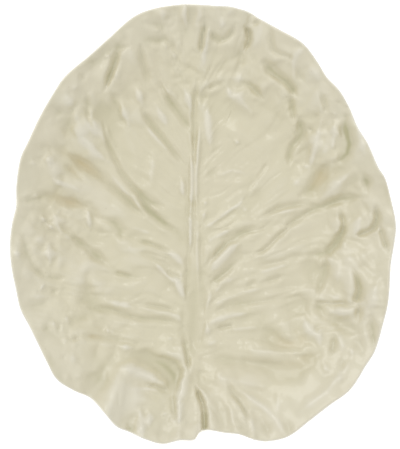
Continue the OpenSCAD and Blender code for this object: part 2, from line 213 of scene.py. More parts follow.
TIP_FOLDS = [
    [-86, 22, 1.4, 91, 0, 86.6, -0.8, 82, -1.4, 77],
    [-24, 18, 0.6, 98.4, 0.8, 90],
    [36, 44, 3.2, 90, 2.6, 84, 0.8, 78, 0.4, 70],
    [14, 50, 0.4, 66, 0.2, 54, 2, 44, 3.4, 37],
    [56, 50, 2.4, 54, 3, 44, 4, 34],
    [-50, 24, 3.4, 89, 5.2, 85.2, 8.6, 83.2, 12.4, 84.2, 15, 87, 17, 91],
    [30, 44, 9, 95, 10, 90, 12.4, 92],
    [28, 36, 16, 98, 13, 94],
    [-78, 22, 21.6, 89.6, 23.8, 87, 24.2, 83.6, 21.6, 79],
    [-50, 20, 25.4, 89.8, 29.6, 92.8],
    [-24, 60, 22, 80, 18.4, 76.6, 13, 74],
    [44, 60, 30.5, 92, 28.6, 85, 26.6, 78],
    [84, 42, -9.4, 100, -9.6, 95, -8.4, 90.2],
    [-40, 50, -7.4, 99, -7, 90],
    [34, 28, -1.4, 98.6, -2.2, 93, -4.2, 88],
    [60, 50, -21, 99, -20.4, 91.6],
    [-50, 60, -2.4, 58, 3, 57.4],
    [-40, 30, -29, 83.6, -24, 82.8, -19.4, 84, -16.4, 81.6, -14.8, 78],
    [24, 24, -18.6, 83, -19.2, 79],
    [22, 22, -15.2, 78.4, -13.8, 75],
    [-50, 28, -32.4, 81, -31.4, 75, -29.8, 69, -28.6, 63],
    [40, 70, -37.5, 84, -37, 70],
    [30, 44, -36, 66, -34.4, 59, -31.6, 54],
    [-24, 20, -24, 65.6, -21, 61],
    [-66, 30, -21, 62, -18, 57.2, -14.6, 53, -11.4, 49.4, -8.4, 46, -6.4, 42],
    [26, 26, -19.8, 62, -16.6, 58.4],
    [-64, 28, -31.6, 52, -29.4, 49, -26, 44.6, -22, 40.2, -18.4, 36.4, -14, 31.6, -9.6, 27],
    [28, 30, -23.4, 51.4, -21, 49, -19, 45.6],
    [30, 30, -30, 45.6, -26, 41, -21, 36.6, -16, 32],
    [60, 46, -9.4, 61, -5.4, 52],
    [-50, 22, -2.6, 66, -4, 58, -4.6, 50, -4.8, 40, -4.4, 33],
    [26, 22, 0.4, 62.4, 4, 64.8],
    [-40, 26, 2.4, 61.6, 6, 63, 11, 64.8],
    [30, 40, 12.8, 62.6, 14.2, 58],
    [90, 70, 12, 58, 18, 58, 25, 51],
    [50, 54, 14.6, 67, 22, 65.4],
    [-16, 50, 1.6, 66, 6, 68.4, 11, 71, 15, 74.6],
    [-28, 30, -10.6, 72.4, -6, 71, -3, 69, -2.8, 65.6],
    [-16, 26, -17.4, 66, -8, 67.2],
    [-16, 26, -13.4, 63.8, -5, 64.2],
    [22, 30, -23.6, 88.6, -22.4, 87.4],
    [-30, 34, -31, 90.6, -25, 91, -21.6, 89.8, -18.8, 86.8],
]
print(len(MIDRIB_FOLDS) + len(TIP_FOLDS), "folds on the midrib, the stem end and the tip")

# %% The veins of the left half
LEFT_FOLDS = [
    [-94, 26, -43.6, 81, -45, 75.4, -46.6, 71, -48.6, 66.6, -50.6, 61],
    [-44, 24, -46, 80, -38.6, 80.4],
    [44, 34, -49.6, 77.6, -48.4, 75],
    [20, 24, -45, 69, -44, 66],
    [-42, 30, -47.4, 59.6, -45, 54.6, -43, 49, -39, 43.4],
    [-24, 24, -48.6, 58.6, -43, 58.4],
    [34, 44, -42, 55, -41, 50, -38.6, 45.6],
    [-34, 32, -63.4, 70.6, -62, 66, -59.8, 64.6],
    [-52, 30, -60, 59.6, -59.6, 54, -60, 50, -59.4, 47],
    [-16, 120, -56, 55, -49.6, 49],
    [28, 30, -61.4, 51, -60, 46, -57.2, 42.8, -53.6, 39.6],
    [-34, 38, -65.6, 55, -68, 50, -70, 45, -71.4, 39],
    [50, 54, -71, 60, -66, 52],
    [67, 90, -66, 49, -62, 43, -57, 37],
    [64, 64, -60, 54, -55.4, 44, -48, 34],
    [44, 40, -33.4, 63, -31.4, 55],
    [40, 44, -24.6, 54, -21, 48.6, -18, 44],
    [36, 56, -25.6, 32, -27, 18],
    [24, 30, -67.2, 62.6, -64.8, 60.6],
    [-34, 34, -77.4, 53.2, -74, 51, -70.6, 49.8],
    [-38, 44, -57.4, 74.6, -56.4, 72.4],
    [-70, 22, -51.6, 46, -50, 40, -48.6, 35.4, -46, 30, -42.6, 24, -37.8, 18.4, -33, 13.8, -28, 6.6, -23,
     2.8, -19, 0],
    [-24, 18, -49, 44, -47, 38.6, -44, 33],
    [-24, 26, -19.6, 0.4, -14, -3.6, -9, -9],
    [-62, 38, -33, 10.6, -27, 5.2, -22.4, 2, -16, -2],
    [-60, 40, -34.6, 15.6, -31, 12.8, -27, 10, -21, 8],
    [-26, 44, -85, 35.8, -80, 35, -74, 33.4, -68, 30.6],
    [-40, 50, -70, 26, -61, 18.6],
    [48, 84, -78, 36, -76, 18],
    [-64, 32, -69, 31.6, -64, 28.6, -58, 24.8, -51, 19.8, -45, 15.4, -40, 11.6, -35, 7.2, -30.6, 3.6],
    [-64, 58, -66, 29.6, -60, 25.8, -52, 20.6],
    [52, 46, -66, 43, -62.6, 38.6, -57, 34, -50, 28.6],
    [30, 34, -50.4, 26, -45, 19.6, -40, 14.4, -36.4, 12, -33.6, 8.4, -31.6, 5.4],
    [34, 36, -77, 19.8, -72, 18.4, -67, 16.8, -62.6, 14.6],
    [60, 24, -77, 19.8, -71.6, 17.8],
    [-26, 28, -92.6, 10, -87.4, 10.6],
    [-44, 40, -93, 10.4, -87, 11.4, -81, 13, -75, 11.8, -70, 10, -64, 9, -59.6, 7.6, -56.8, 3.6, -56.6, -2],
    [-52, 44, -73, 11.4, -68, 9.8, -63, 8.4],
    [64, 28, -59.4, 8, -58.6, -2],
    [26, 34, -77.6, 11.4, -76, 10],
    [46, 34, -86, 14, -85.6, 11.4],
    [26, 36, -75.8, 6, -74, 5],
    [34, 34, -72.4, -4, -67, -7],
    [24, 28, -62.4, -12, -60.6, -13.4],
    [66, 26, -83.4, 3.6, -81.2, 0.4],
    [74, 60, -78, 7, -73.4, -4.4],
    [72, 26, -81, 0, -76.2, -2.6],
    [-60, 46, -52, 2.6, -46, 0.6, -43, -3, -42.4, -7],
    [-24, 26, -56.6, -3.4, -50, -4],
    [28, 36, -88.6, -7, -84, -7, -80.6, -9.4],
    [84, 46, -79.4, -9, -79, -18],
    [46, 70, -74, -8, -74.4, -20],
    [46, 36, -95.8, -11.8, -95, -15],
    [-42, 38, -92.4, -6, -91, -13, -87, -19.6, -82, -24],
    [-22, 26, -85.4, -9, -81.6, -12.4],
    [-20, 26, -88.4, 0.4, -83.6, -2.4],
    [-40, 30, -78, 3, -74, 0, -70, -3.4, -66, -7, -61, -10.2, -56, -13.6, -51, -17, -46.8, -20.6],
    [-54, 34, -66.6, -6.8, -60.4, -10.4],
    [-74, 44, -59.4, -12, -55.6, -14.4, -52, -17.2],
    [-20, 28, -49, -20, -44, -22, -39, -23.4, -31, -25],
    [-54, 15, -46.4, -22.2, -41.4, -23, -36.4, -24.2],
    [80, 38, -79.4, 32, -79.2, 26.4],
    [-24, 24, -79, 35, -79, 30],
    [-34, 32, -85.4, -21.4, -81, -24, -76, -24.6, -71, -24.6],
    [-22, 40, -46, -3.4, -38.6, -5.6, -33, -7, -27, -9],
    [-46, 18, -33.4, -7.6, -27, -9, -22.6, -10.6, -14.6, -13.4],
    [18, 44, -41, -1, -32, -2.6, -25, -5],
    [76, 58, -19, -11.6, -13.4, -15, -9.6, -20],
    [64, 48, -15.6, -22, -12, -28, -9.6, -32.6],
    [-24, 30, -34, -12.6, -26, -15, -20.4, -19],
    [-58, 16, -19.4, -21, -15.4, -23.1, -10.4, -25],
    [52, 28, -25, -17.6, -21.4, -20.8, -18, -24.4, -13.6, -27],
    [20, 26, -12.2, -22, -10.8, -24.6],
    [22, 34, -38.6, -10, -37, -10.6],
    [-18, 60, -44, -61, -38, -59.8, -30, -59.6, -22, -61],
    [-90, 84, -28, -60.4, -20.6, -63.4, -15.6, -68, -14, -75],
    [-70, 50, -27, -61.6, -20, -64.4, -15.4, -68.4, -13.4, -74],
    [-44, 56, -20, -61.6, -14, -64, -11.4, -69],
    [14, 60, -32, -54.6, -19, -57, -13.4, -61.6, -11.4, -68],
    [22, 32, -17.4, -51.6, -16.4, -52.6],
    [94, 62, -42, -65, -36, -66.2, -29, -69, -20.6, -72.4],
    [28, 28, -38.6, -75, -28, -74.8, -21.6, -75.2],
    [-50, 16, -30, -72.8, -24, -74.2, -17.4, -76.8],
    [-80, 36, -38, -91, -37, -95],
    [100, 160, -39.4, -64, -40.6, -72, -42, -80, -44, -88, -46, -97],
    [50, 62, -43, -67, -45.6, -76, -48, -85, -50, -92],
    [36, 80, -34, -73, -35, -84],
    [-90, 72, -51.8, -67, -53.4, -69.6, -56.4, -73.4, -61.6, -79.6],
    [-30, 14, -43.4, -75, -43.6, -83],
    [100, 46, -32.4, -85, -31.4, -98],
    [66, 40, -28, -85, -27.4, -91],
    [22, 32, -20.4, -85.4, -19.6, -87],
    [-38, 60, -24, -93, -19.4, -94],
    [-22, 34, -13.4, -90, -12.6, -92],
    [-44, 16, -32, -36.4, -22, -37.8, -14.6, -39.2],
    [44, 42, -49.6, -35.2, -42, -36.4, -36, -38],
    [26, 24, -36, -37.8, -26, -39.6, -18, -40.6, -13, -41.6, -8.6, -46],
    [-60, 24, -62, -38, -54, -38, -47, -39, -40, -41.4, -33, -43, -24, -43.4, -16, -44.4, -10, -47],
    [-58, 66, -59.6, -23, -59.4, -29, -58.6, -34, -55, -38.4, -49, -40.6],
    [-48, 24, -68.6, -51.8, -63.6, -52],
    [-24, 40, -63.4, -50.6, -53.4, -52.2],
    [-44, 60, -67, -45, -57, -40.6],
    [-36, 30, -61, -50.4, -53, -51.5, -45, -52.6, -36, -54, -27, -54.8],
    [30, 34, -42.6, -55.8, -37.4, -56.2],
    [44, 28, -72, -42.8, -68.6, -43.6],
    [48, 30, -77.2, -44, -76.6, -47],
    [38, 28, -74, -46.2, -71.6, -47.4],
    [46, 28, -49.4, -46.6, -49.2, -50.4],
    [32, 24, -47, -47.4, -46.8, -50.4],
    [42, 28, -72.4, -52.2, -69.6, -53],
    [28, 36, -67, -58.4, -67, -63.6],
    [24, 32, -64.4, -68.4, -63.6, -69.8],
    [24, 32, -70.6, -69, -69.4, -70],
    [46, 32, -83.6, -28, -82, -29],
    [-48, 40, -81, -45.6, -80.6, -49],
    [-46, 32, -74.2, -45, -74, -48.4],
    [-24, 30, -72.4, -59.4, -71.6, -61],
    [-34, 34, -78, -29.4, -76.2, -32.4],
    [-32, 48, -92, -38, -77.6, -35],
    [34, 70, -90, -33, -80, -33],
    [24, 40, -86, 28.6, -89, 27],
]
print(len(LEFT_FOLDS), "folds on the left half")

# %% The veins of the right half
RIGHT_FOLDS = [
    [34, 30, -0.6, -2.4, 4, 0, 9, 3, 14, 6, 19, 9, 23.4, 14.6],
    [-30, 24, 4.6, -1.4, 12, 3, 18.6, 7.4],
    [-16, 22, 19.6, 8.6, 25, 17, 28, 20.6],
    [-26, 16, 27.6, 20, 31, 24, 33.6, 28.4],
    [12, 22, 22, 9.6, 27, 17.4, 30, 21.4, 33.6, 26],
    [40, 28, 1.4, -8.8, 5.4, -6.6, 10.4, -4.4, 15, -2.4],
    [26, 40, 20.6, 5.4, 23.6, 7.4],
    [-58, 32, 1, -19.4, 5, -15.6, 9, -12, 13, -8.2, 18, -5.4, 24, -3.2, 31, -2.2],
    [-60, 20, 5.6, -15.4, 9.4, -11.2, 13, -8],
    [74, 42, 3.4, -22.4, 7.6, -17.8, 11.6, -14, 14.6, -11, 18.6, -9],
    [-24, 32, 0, -30, 4, -27, 8, -24.4, 12.4, -21, 17.4, -17, 23, -14.4, 29, -13],
    [-74, 20, 4.6, -26.6, 8.8, -24.2, 12.6, -21.2, 17.6, -17],
    [-30, 60, 17, -13.4, 21.4, -13.6],
    [26, 26, 7.6, 21.6, 15, 24.6, 23.6, 22.8],
    [-36, 50, 3, 25, 6.6, 21],
    [30, 80, 9, 18, 18, 19, 26, 17],
    [-24, 24, 4.6, 32.6, 9.6, 35.4],
    [34, 26, 0.4, 8, 2.2, 11.2],
    [36, 26, -0.4, 2, 1.6, 5.8],
    [44, 34, 17, 36.2, 18.4, 38.6],
    [46, 30, -11, 21, -10.4, 12],
    [-52, 28, 29, 2.6, 34, 4.9, 39, 6.9, 44, 8, 49, 8.5, 55, 8.9, 60, 8.4],
    [-60, 30, 53, 4.6, 58, 7, 63.4, 8.4, 68, 10, 72, 11.4, 77, 12, 84, 12.4],
    [40, 26, 35.4, 4.2, 42, 5.8, 48, 7, 52, 8, 57, 10],
    [-56, 30, 43.6, -2, 46.6, 1, 50.6, 3.4, 55, 5.8, 59, 7.4],
    [-68, 22, 26.6, -14.2, 31, -12.2, 35.4, -9, 38.6, -6, 41.6, -3.8, 45, -1.6],
    [-30, 28, 15.6, -5.4, 22, -2.2, 28.6, -0.8],
    [-36, 60, 27, -1.8, 36, -1, 42, 0.6],
    [-66, 34, 49.6, 48, 51.4, 42, 48.6, 36.6],
    [-64, 26, 50.4, 40, 46.6, 36, 45, 32.4, 44.6, 27],
    [-32, 36, 56.4, 43.8, 55.6, 42.2],
    [90, 70, 60.6, 46, 58.6, 38, 56, 30],
    [50, 44, 58.6, 36, 57, 30, 55, 25],
    [56, 44, 68, 46, 67.6, 40, 66.8, 33],
    [28, 36, 54, 27.4, 53, 25],
    [70, 84, 64, 40, 63, 32, 60, 25],
    [20, 36, 46.6, 17.4, 50.6, 20.6],
    [-92, 40, 73.6, 49, 73.4, 44, 74.6, 40, 75.6, 36, 74.4, 32, 71.4, 29.4, 68.4, 28],
    [34, 40, 80, 46, 81, 38, 83, 32],
    [-84, 50, 65, 27.6, 61.6, 24, 59, 19.6, 56.4, 16, 51, 13],
    [80, 66, 77, 24, 71, 19, 67, 15.6, 62, 12],
    [28, 28, 41.4, 1, 42.8, 0.6],
    [-28, 26, 43.4, 0.4, 44.8, -0.6],
    [-56, 22, 70.8, 6.6, 72.8, 1.4, 73, -3, 71.4, -6],
    [-96, 42, 72, -2.6, 70.8, -6.6, 68.4, -9.8, 65.6, -12.8],
    [-74, 40, 68.6, -10, 63, -13.4, 56, -14.4],
    [30, 34, 72.4, -7, 73.4, -10],
    [36, 44, 82.2, 5, 80, 0, 78.6, -6],
    [-78, 40, 82.6, 22.4, 84.6, 19, 84.6, 15],
    [-84, 30, 89.4, 8, 90.2, 2.8, 89.2, -0.8, 86, -3],
    [-60, 24, 89, -2, 84, -4, 79, -5.2],
    [-40, 76, 90.6, 6, 89.6, 0, 84, -3],
    [-32, 30, 81.6, 10.4, 85.6, 5.6, 90.4, 5.2],
    [-74, 24, 91.6, -1.6, 93, -6, 95.4, -12],
    [-58, 28, 62.8, -14.6, 63.6, -18, 62.6, -23, 60.8, -28, 59, -32.6],
    [-74, 96, 57, -14, 58, -21, 57, -28],
    [-72, 110, 49, -30, 51, -36, 54, -41],
    [60, 80, 77, -13, 73, -19],
    [84, 110, 77.6, -16, 76.6, -26, 74.6, -37],
    [50, 60, 70.4, -17, 69.2, -27],
    [60, 90, 86, -13, 80, -17],
    [72, 66, 90.6, -25, 87.4, -33, 83.6, -40],
    [54, 54, 64, -32.4, 69, -33.2, 75, -34],
    [-84, 38, 77.6, -20.6, 79.8, -25, 81.2, -29.4, 80.2, -33.6, 78, -36],
    [-48, 17, 56, -35, 64, -36, 71, -36, 80, -37],
    [84, 48, 66.6, -39.8, 72, -40, 77.4, -39.8],
    [-52, 34, 80.4, -37, 80.2, -44],
    [-60, 44, 58.4, -34, 61.8, -41],
    [-34, 28, 24.4, -20.4, 32, -18.6, 40, -17, 46, -15, 56, -13.8],
    [32, 28, 28.4, -22.8, 36, -20.6, 44.8, -18.2],
    [-48, 26, 32, -26.4, 37, -25, 41.6, -23.6],
    [-44, 28, 22.4, -29.4, 28.6, -24.6],
    [38, 32, 5.4, -32.6, 10, -27.2, 17, -24.6],
    [34, 30, 4.4, -37.4, 10.6, -34.6, 20, -31.4, 34, -28.4],
    [-38, 30, 7.4, -39.4, 14, -37, 22, -36, 34, -35, 50, -32.6],
    [36, 30, 2.4, -45.6, 8, -43, 14.6, -41.8, 26, -40],
    [36, 34, 6.6, -44.2, 13.6, -42.6],
    [-60, 16, 7.4, -47.6, 11, -47, 16, -45.9],
    [40, 70, 1, -46.6, 4, -51],
    [26, 26, 13.4, -48.2, 22, -47.4, 31, -46.8],
    [26, 26, 1.4, -55.4, 8.6, -52.8],
    [-62, 72, 30, -46.6, 35, -49.8, 41, -53, 50, -56.4],
    [16, 20, 14.6, -57, 35, -58, 48, -58.8, 54, -58.6],
    [-36, 50, 0, -61.2, 14, -61.6, 28, -63, 40, -65],
    [-84, 100, 24, -63.6, 38, -66.6, 48, -66.8, 57, -64.4],
    [-64, 56, 49, -60, 55, -61, 60, -59],
    [44, 44, 52.4, -42, 53.6, -46, 55.6, -49, 60, -50.8],
    [-44, 80, 22, -51, 34, -53.4, 46, -57],
    [-38, 100, 42, -28, 45.4, -42, 52, -55],
]
print(len(RIGHT_FOLDS), "folds on the right half")

# %% The curl at the lower right, and the fans along the rim
RIM_FOLDS = [
    [-96, 44, 31.8, 73.6, 34.6, 70.6, 37.4, 68],
    [-72, 90, 34, 72.6, 41, 68],
    [-74, 34, 35, 70.4, 39, 67.4, 43, 64.6, 46.2, 61.4, 48.2, 58.6],
    [-50, 26, 34.6, 90, 35, 83, 36.2, 79, 40, 76.8, 45, 76],
    [-44, 32, 43.6, 76, 46.4, 74.6],
    [36, 36, 52.6, 79.8, 48, 77, 46.4, 73.6, 47, 66.4],
    [-36, 30, 48.6, 70.6, 50, 67, 52.4, 64.6],
    [54, 60, 54, 72, 57.6, 68, 61, 64],
    [-30, 26, 21, 65.4, 26, 62.4],
    [-76, 28, 24.6, 63.2, 27.6, 60.6, 30.6, 57.4],
    [-48, 26, 45.8, 58, 46.2, 53, 47.2, 46.6],
    [-48, 26, 60.4, 59.4, 62.2, 56.6, 63.4, 53, 62.4, 50],
    [-28, 30, 56.6, 47.6, 60.6, 50.6],
    [-26, 32, 70.4, 56, 69.6, 54],
    [26, 34, 68.4, 51, 67.6, 49],
    [26, 34, 70.4, 42, 69.6, 40],
    [-48, 26, 68, -50.4, 67.6, -55, 65.8, -59.4],
    [34, 40, 60.4, -48.4, 59.8, -52, 60.6, -56],
    [36, 36, 62, -62, 63.4, -65.6, 66.6, -66.8],
    [34, 56, 67.4, -47.4, 71, -50.8, 72.4, -55, 71, -60.4],
    [-36, 30, 71.8, -60, 71.6, -67.6],
    [34, 36, 77, -54.4, 77, -60.6],
    [28, 36, 68.4, -70, 72.6, -70],
    [-32, 28, 60.4, -46.6, 57.6, -48.2],
    [-46, 60, 58, -40, 64, -42.8, 72, -45.6, 81, -49],
    [-34, 48, 79.6, -49.6, 82.4, -57.6],
    [-64, 40, 86.8, -42, 88.4, -56],
    [-34, 28, 13, -72, 16, -77, 20, -82.4, 25, -88],
    [36, 66, 2, -70, 16, -71, 31, -74],
    [34, 24, 14.6, -78.6, 19.4, -83.4, 22, -90],
    [44, 46, 20, -76, 26, -80, 32, -83.6, 38, -89, 43, -96],
    [32, 50, 39, -77, 38.6, -88],
    [-46, 36, 30.4, -89, 34.4, -96],
    [-34, 34, 42.6, -89, 45.4, -96],
    [34, 34, 13.6, -82.4, 16.4, -92.6],
    [-26, 32, 20, -91, 20, -93.6],
    [36, 32, 24.6, -86, 26.6, -98],
    [24, 32, 46.6, -92.6, 47.4, -94],
    [41, 110, -30, 62, -40, 44, -34, 26],
    [46, 120, -66, 48, -60, 38, -44, 26],
    [46, 130, -84, 26, -66, 20, -48, 8, -34, 0],
    [46, 120, -50, 0, -38, -12, -24, -18],
    [41, 120, -76, -22, -62, -24, -48, -30],
    [41, 120, -46, -66, -34, -78, -22, -82],
    [36, 120, 20, -10, 34, -2, 44, 6],
    [41, 120, 22, -16, 38, -12, 52, -10],
    [36, 110, 10, 44, 22, 40, 30, 34],
    [41, 120, 58, 60, 66, 44, 62, 36],
    [40, 54, 50, -85, 64, -75.6, 76, -62],
    [-40, 54, -62, 67, -51, 76.6, -40, 84],
]
print(len(RIM_FOLDS), "folds on the curl and along the rim")

# %% [markdown]
# ## How a fold rises out of the clay
# Between its veins the blade bulges, and where two bulges meet there is a narrow crease with
# round sides, not a groove with a round bottom. A fold therefore climbs ever faster towards
# its line and comes to a narrow edge there, which the glaze rounds off. Beside it the sheet
# gives way a little in the other direction. A fold narrows and runs out low towards its two
# ends. Where folds meet, their heights simply add up, as they do in the soft sheet.

# %% Height of one fold, and the sum of them all
END_FADES = (0.22, 0.48)
END_STUMP = 0.35
END_WIDTH = 0.5
GLAZE_ROUND = 0.7 * MM
LINE_POWER = 2
LINE_REACH = 6 * MM
SHOULDER = 0.22
FELT_REACHES = 3
ALL_FOLDS = MIDRIB_FOLDS + TIP_FOLDS + LEFT_FOLDS + RIGHT_FOLDS + RIM_FOLDS


def eased(value):
    """Slow, quick, slow again between 0 and 1: three times its square less twice its cube."""
    held = np.clip(value, 0, 1)
    return held * held * (3 - 2 * held)


def distance_along(places, line):
    """Least distance from each place to a line of stretches, and the share of the line's
    stretches that lie before the nearest point."""
    near = np.full(len(places), np.inf)
    along = np.zeros(len(places))
    for number, (start, stop) in enumerate(zip(line[:-1], line[1:])):
        way = stop - start
        share = np.clip((places - start) @ way / (way @ way), 0, 1)
        gap = np.linalg.norm(places - start - share[:, None] * way, axis=1)
        closer = gap < near
        near = np.where(closer, gap, near)
        along = np.where(closer, (number + share) / (len(line) - 1), along)
    return near, along


def fold_heights(places):
    """Two sums of the folds at each place. Across its line a fold is its lift times the square
    of one less the rounded distance's share of the width, less a shoulder: the distance's share
    squared, times e to the power of one less that. Lift and width ease from a part of
    themselves at the line's ends to the whole about one reach further in. The second sum has
    the fourth power and no shoulder, and leaves wide folds out the more the wider they are, so
    that it keeps to the folds' own lines."""
    heights = np.zeros((2, len(places)))
    for lift, reach_share, *shares in ALL_FOLDS:
        line = on_leaf(np.reshape(shares, (-1, 2)) + NET_OFFSET)
        reach = reach_share / 100 * FOLD_REACH
        low, high = line.min(axis=0) - FELT_REACHES * reach, line.max(axis=0) + FELT_REACHES * reach
        close = np.flatnonzero(np.all((places > low) & (places < high), axis=1))
        gap, along = distance_along(places[close], line)
        length = np.linalg.norm(np.diff(line, axis=0), axis=1).sum()
        fading = np.clip(reach / length, *END_FADES)
        inward = eased(np.minimum(along, 1 - along) / fading)
        width = reach * (END_WIDTH + (1 - END_WIDTH) * inward)
        across = np.clip(1 - np.hypot(gap, GLAZE_ROUND) / width, 0, 1) ** 2
        fade = END_STUMP + (1 - END_STUMP) * inward
        whole = lift / 100 * FOLD_HEIGHT * fade
        beside = (gap / width) ** 2
        heights[0, close] += whole * (across - SHOULDER * beside * np.exp(1 - beside))
        # The second sum is no height: the glaze's colour paints shade along its creases and highlights
        # along its ridges.
        heights[1, close] += whole * across ** LINE_POWER * min(1, LINE_REACH / reach) ** 2
    return heights


middle_lift = fold_heights(np.zeros((1, 2)))[0, 0]
print(len(ALL_FOLDS), "folds, lift in the middle", round(middle_lift / MM, 2), "mm")

# %% [markdown]
# ## Blisters between the veins
# Between its veins a cabbage leaf is puckered all over, because the blade grows faster than
# the skeleton that holds it. No one would draw hundreds of blisters by hand. Smooth noise is
# right for them: random heights on a square net, with an eased surface stretched between
# them. Where the noise would go below zero it is folded up again, so that its hills stay
# round and its valleys turn into narrow creases, as on the leaf. A few spots of the leaf are
# plainer than the rest, and there the noise is held down.

# %% Folded noise in three sizes, and the plainer spots
NOISE_SEED = 12
NET_SIZE = 128
BLISTERS = [(26 * MM, 1.6 * MM, 20), (11 * MM, 1.5 * MM, 65), (5 * MM, 0.5 * MM, 115)]
BLISTER_MEAN = 0.36
CREASE_ROUND = 0.09
LINE_WIDTH = 0.12
LINE_MEAN = 0.3
WELL_BLISTERS = 0.45
SMOOTH_SPOTS = [
    (62, -78, 34), (38, -78, 20), (-86, 24, 18), (-86, -36, 16), (40, 86, 16), (-60, 72, 14),
    (-34, -80, 12), (18, 48, 16), (69, -26, 9),
]
SMOOTHING = 0.75

draws = np.random.default_rng(NOISE_SEED)
blister_nets = draws.uniform(-1, 1, (len(BLISTERS), NET_SIZE, NET_SIZE))


def net_noise(net, u, v):
    """A smooth surface through random heights at whole numbers: the four round a place are
    mixed by its eased share of the way between them in either direction."""
    column, row = np.floor(u).astype(int), np.floor(v).astype(int)
    right, up = eased(u - column), eased(v - row)

    def knot(down, across):
        return net[(row + down) % NET_SIZE, (column + across) % NET_SIZE]

    low = knot(0, 0) * (1 - right) + knot(0, 1) * right
    high = knot(1, 0) * (1 - right) + knot(1, 1) * right
    return low * (1 - up) + high * up


def puckers(noise):
    """Two heights from one noise. The first is the noise's distance from zero, rounded at zero,
    less its mean. The second is lowest in the creases, where the noise is zero: its mean less
    one over one plus the square of the noise's share of the line's width."""
    folded = np.hypot(noise, CREASE_ROUND) - BLISTER_MEAN
    return np.stack([folded, LINE_MEAN - 1 / (1 + (noise / LINE_WIDTH) ** 2)])


def blister_heights(places):
    """Two sums over the sizes: the puckers and their lines on a net turned by its angle."""
    heights = np.zeros((2, len(places)))
    for net, (size, lift, turn_deg) in zip(blister_nets, BLISTERS):
        turn = math.radians(turn_deg)
        across = places[:, 0] * math.cos(turn) + places[:, 1] * math.sin(turn)
        along = places[:, 1] * math.cos(turn) - places[:, 0] * math.sin(turn)
        heights += lift * puckers(net_noise(net, across / size, along / size))
    return heights


def outside_spots(places, spots, strength):
    """One far from all spots, and one less the strength in the middle of a spot: the product
    of one less the strength times a bell over the distance's share of each spot's size. A spot
    is its place in hundredths and its size in millimetres."""
    left = np.ones(len(places))
    for x, y, size in spots:
        gap = np.linalg.norm(places - on_leaf((x, y)), axis=1) / (size * MM)
        left *= 1 - strength * np.exp(-gap ** 2)
    return left


print("blisters up to", round(sum(lift for _, lift, _ in BLISTERS) / MM, 2), "mm high")

# %% [markdown]
# ## Fine ribs that fan out from the midrib
# Beside its main veins the blade is drawn out in fine ribs. They all leave the midrib and fan
# out: nearly level at the widest part, ever steeper towards the tip, and downwards beside the
# stem. So each place gets a vein place: where on the midrib its rib starts, and how far along
# the rib it is. Noise that is short in the first and long in the second makes the ribs.

# %% Vein places, and noise drawn out along them
MIDRIB_X = -4.6
RIB_STARTS = [-150, -110, -90, -75, -60, -40, -20, 0, 20, 40, 60, 80, 110, 150]
RIB_SLOPES = [-14, -7, -3.2, -1.2, 0, 0.12, 0.28, 0.6, 1.0, 1.5, 2.4, 4.5, 8, 16]
RIBS = [(8, 50, 1.2 * MM), (4, 28, 1.3 * MM), (2, 16, 0.9 * MM)]
RIB_CLEARANCE = 7.0
RIB_FADE = (-15, 15)
RIB_LEFT = 0.6
RIB_BENDS = [(34 * MM, 4), (12 * MM, 1.6)]
HALVINGS = 26
rib_nets = draws.uniform(-1, 1, (2, len(RIBS), NET_SIZE, NET_SIZE))
bend_net = draws.uniform(-1, 1, (NET_SIZE, NET_SIZE))


def vein_places(shares):
    """The start of the rib through each place, found by halving the range of starts over and
    over: the start plus its slope times the distance from the midrib gives the height on the
    leaf. The second value is the distance along the rib. All in hundredths."""
    out = np.abs(shares[:, 0] - MIDRIB_X)
    low, high = (np.full(len(shares), float(end)) for end in (RIB_STARTS[0], RIB_STARTS[-1]))
    for _ in range(HALVINGS):
        start = (low + high) / 2
        above = start + np.interp(start, RIB_STARTS, RIB_SLOPES) * out > shares[:, 1]
        high = np.where(above, start, high)
        low = np.where(above, low, start)
    return start, np.hypot(out, shares[:, 1] - start)


def rib_heights(places):
    """Two sums over the sizes: the puckers and their lines on the vein places, with a net for
    each half of the leaf, fading out at the midrib, and weaker towards the leaf's tip. Wider
    noise bends the ribs."""
    shares = places / (LEAF_WIDTH, LEAF_LENGTH) * share_span + share_middle
    for size, bend in RIB_BENDS:
        shares[:, 1] += bend * net_noise(bend_net, *(places / size).T)
    start, along = vein_places(shares)
    left = shares[:, 0] < MIDRIB_X
    heights = np.zeros((2, len(places)))
    for number, (width, length, lift) in enumerate(RIBS):
        sides = [net_noise(net, start / width, along / length) for net in rib_nets[:, number]]
        heights += lift * puckers(np.where(left, *sides))
    part = eased(np.abs(shares[:, 0] - MIDRIB_X) / RIB_CLEARANCE)
    part *= 1 - (1 - RIB_LEFT) * eased((start - RIB_FADE[0]) / (RIB_FADE[1] - RIB_FADE[0]))
    return heights * part


print("ribs up to", round(sum(lift for _, _, lift in RIBS) / MM, 2), "mm high")

# %% [markdown]
# ## The pressed sheet
# Take a flat well, let its edge climb ever more steeply to a waving rim, and add the folds:
# that is the whole leaf. The clay is thickest in the well and thinnest at the rim. Its
# underside shows the folds more faintly, because the clay lay on the mould with its face
# and was smoothed by hand on its back. Every height is worked out on rays that leave the
# middle and on rings that cross them, all at once as arrays.

# %% Heights of the top and of the underside
PRINT_SHARE = 0.6
WELL_SHARE = 0.65
FLANK_POWER = 1.6
FOLD_ONSET = 2.5
MOST_RIDGE = 4.4 * MM
MOST_CREASE = 2.7 * MM
NOISE_LINES = 0.3
SOFT_MEETING = 0.7 * MM
TRAIT_UNIT = 4 * MM

ray_ends = np.linalg.norm(rim_line, axis=1) - RIM_ROUND
ray_ways = rim_line / np.linalg.norm(rim_line, axis=1)[:, None]


def higher_of(a, b):
    """The higher of two heights, with a soft fillet where they cross: half of their sum and of
    the root of their difference squared and the fillet squared."""
    return (a + b + np.sqrt((a - b) ** 2 + SOFT_MEETING ** 2)) / 2


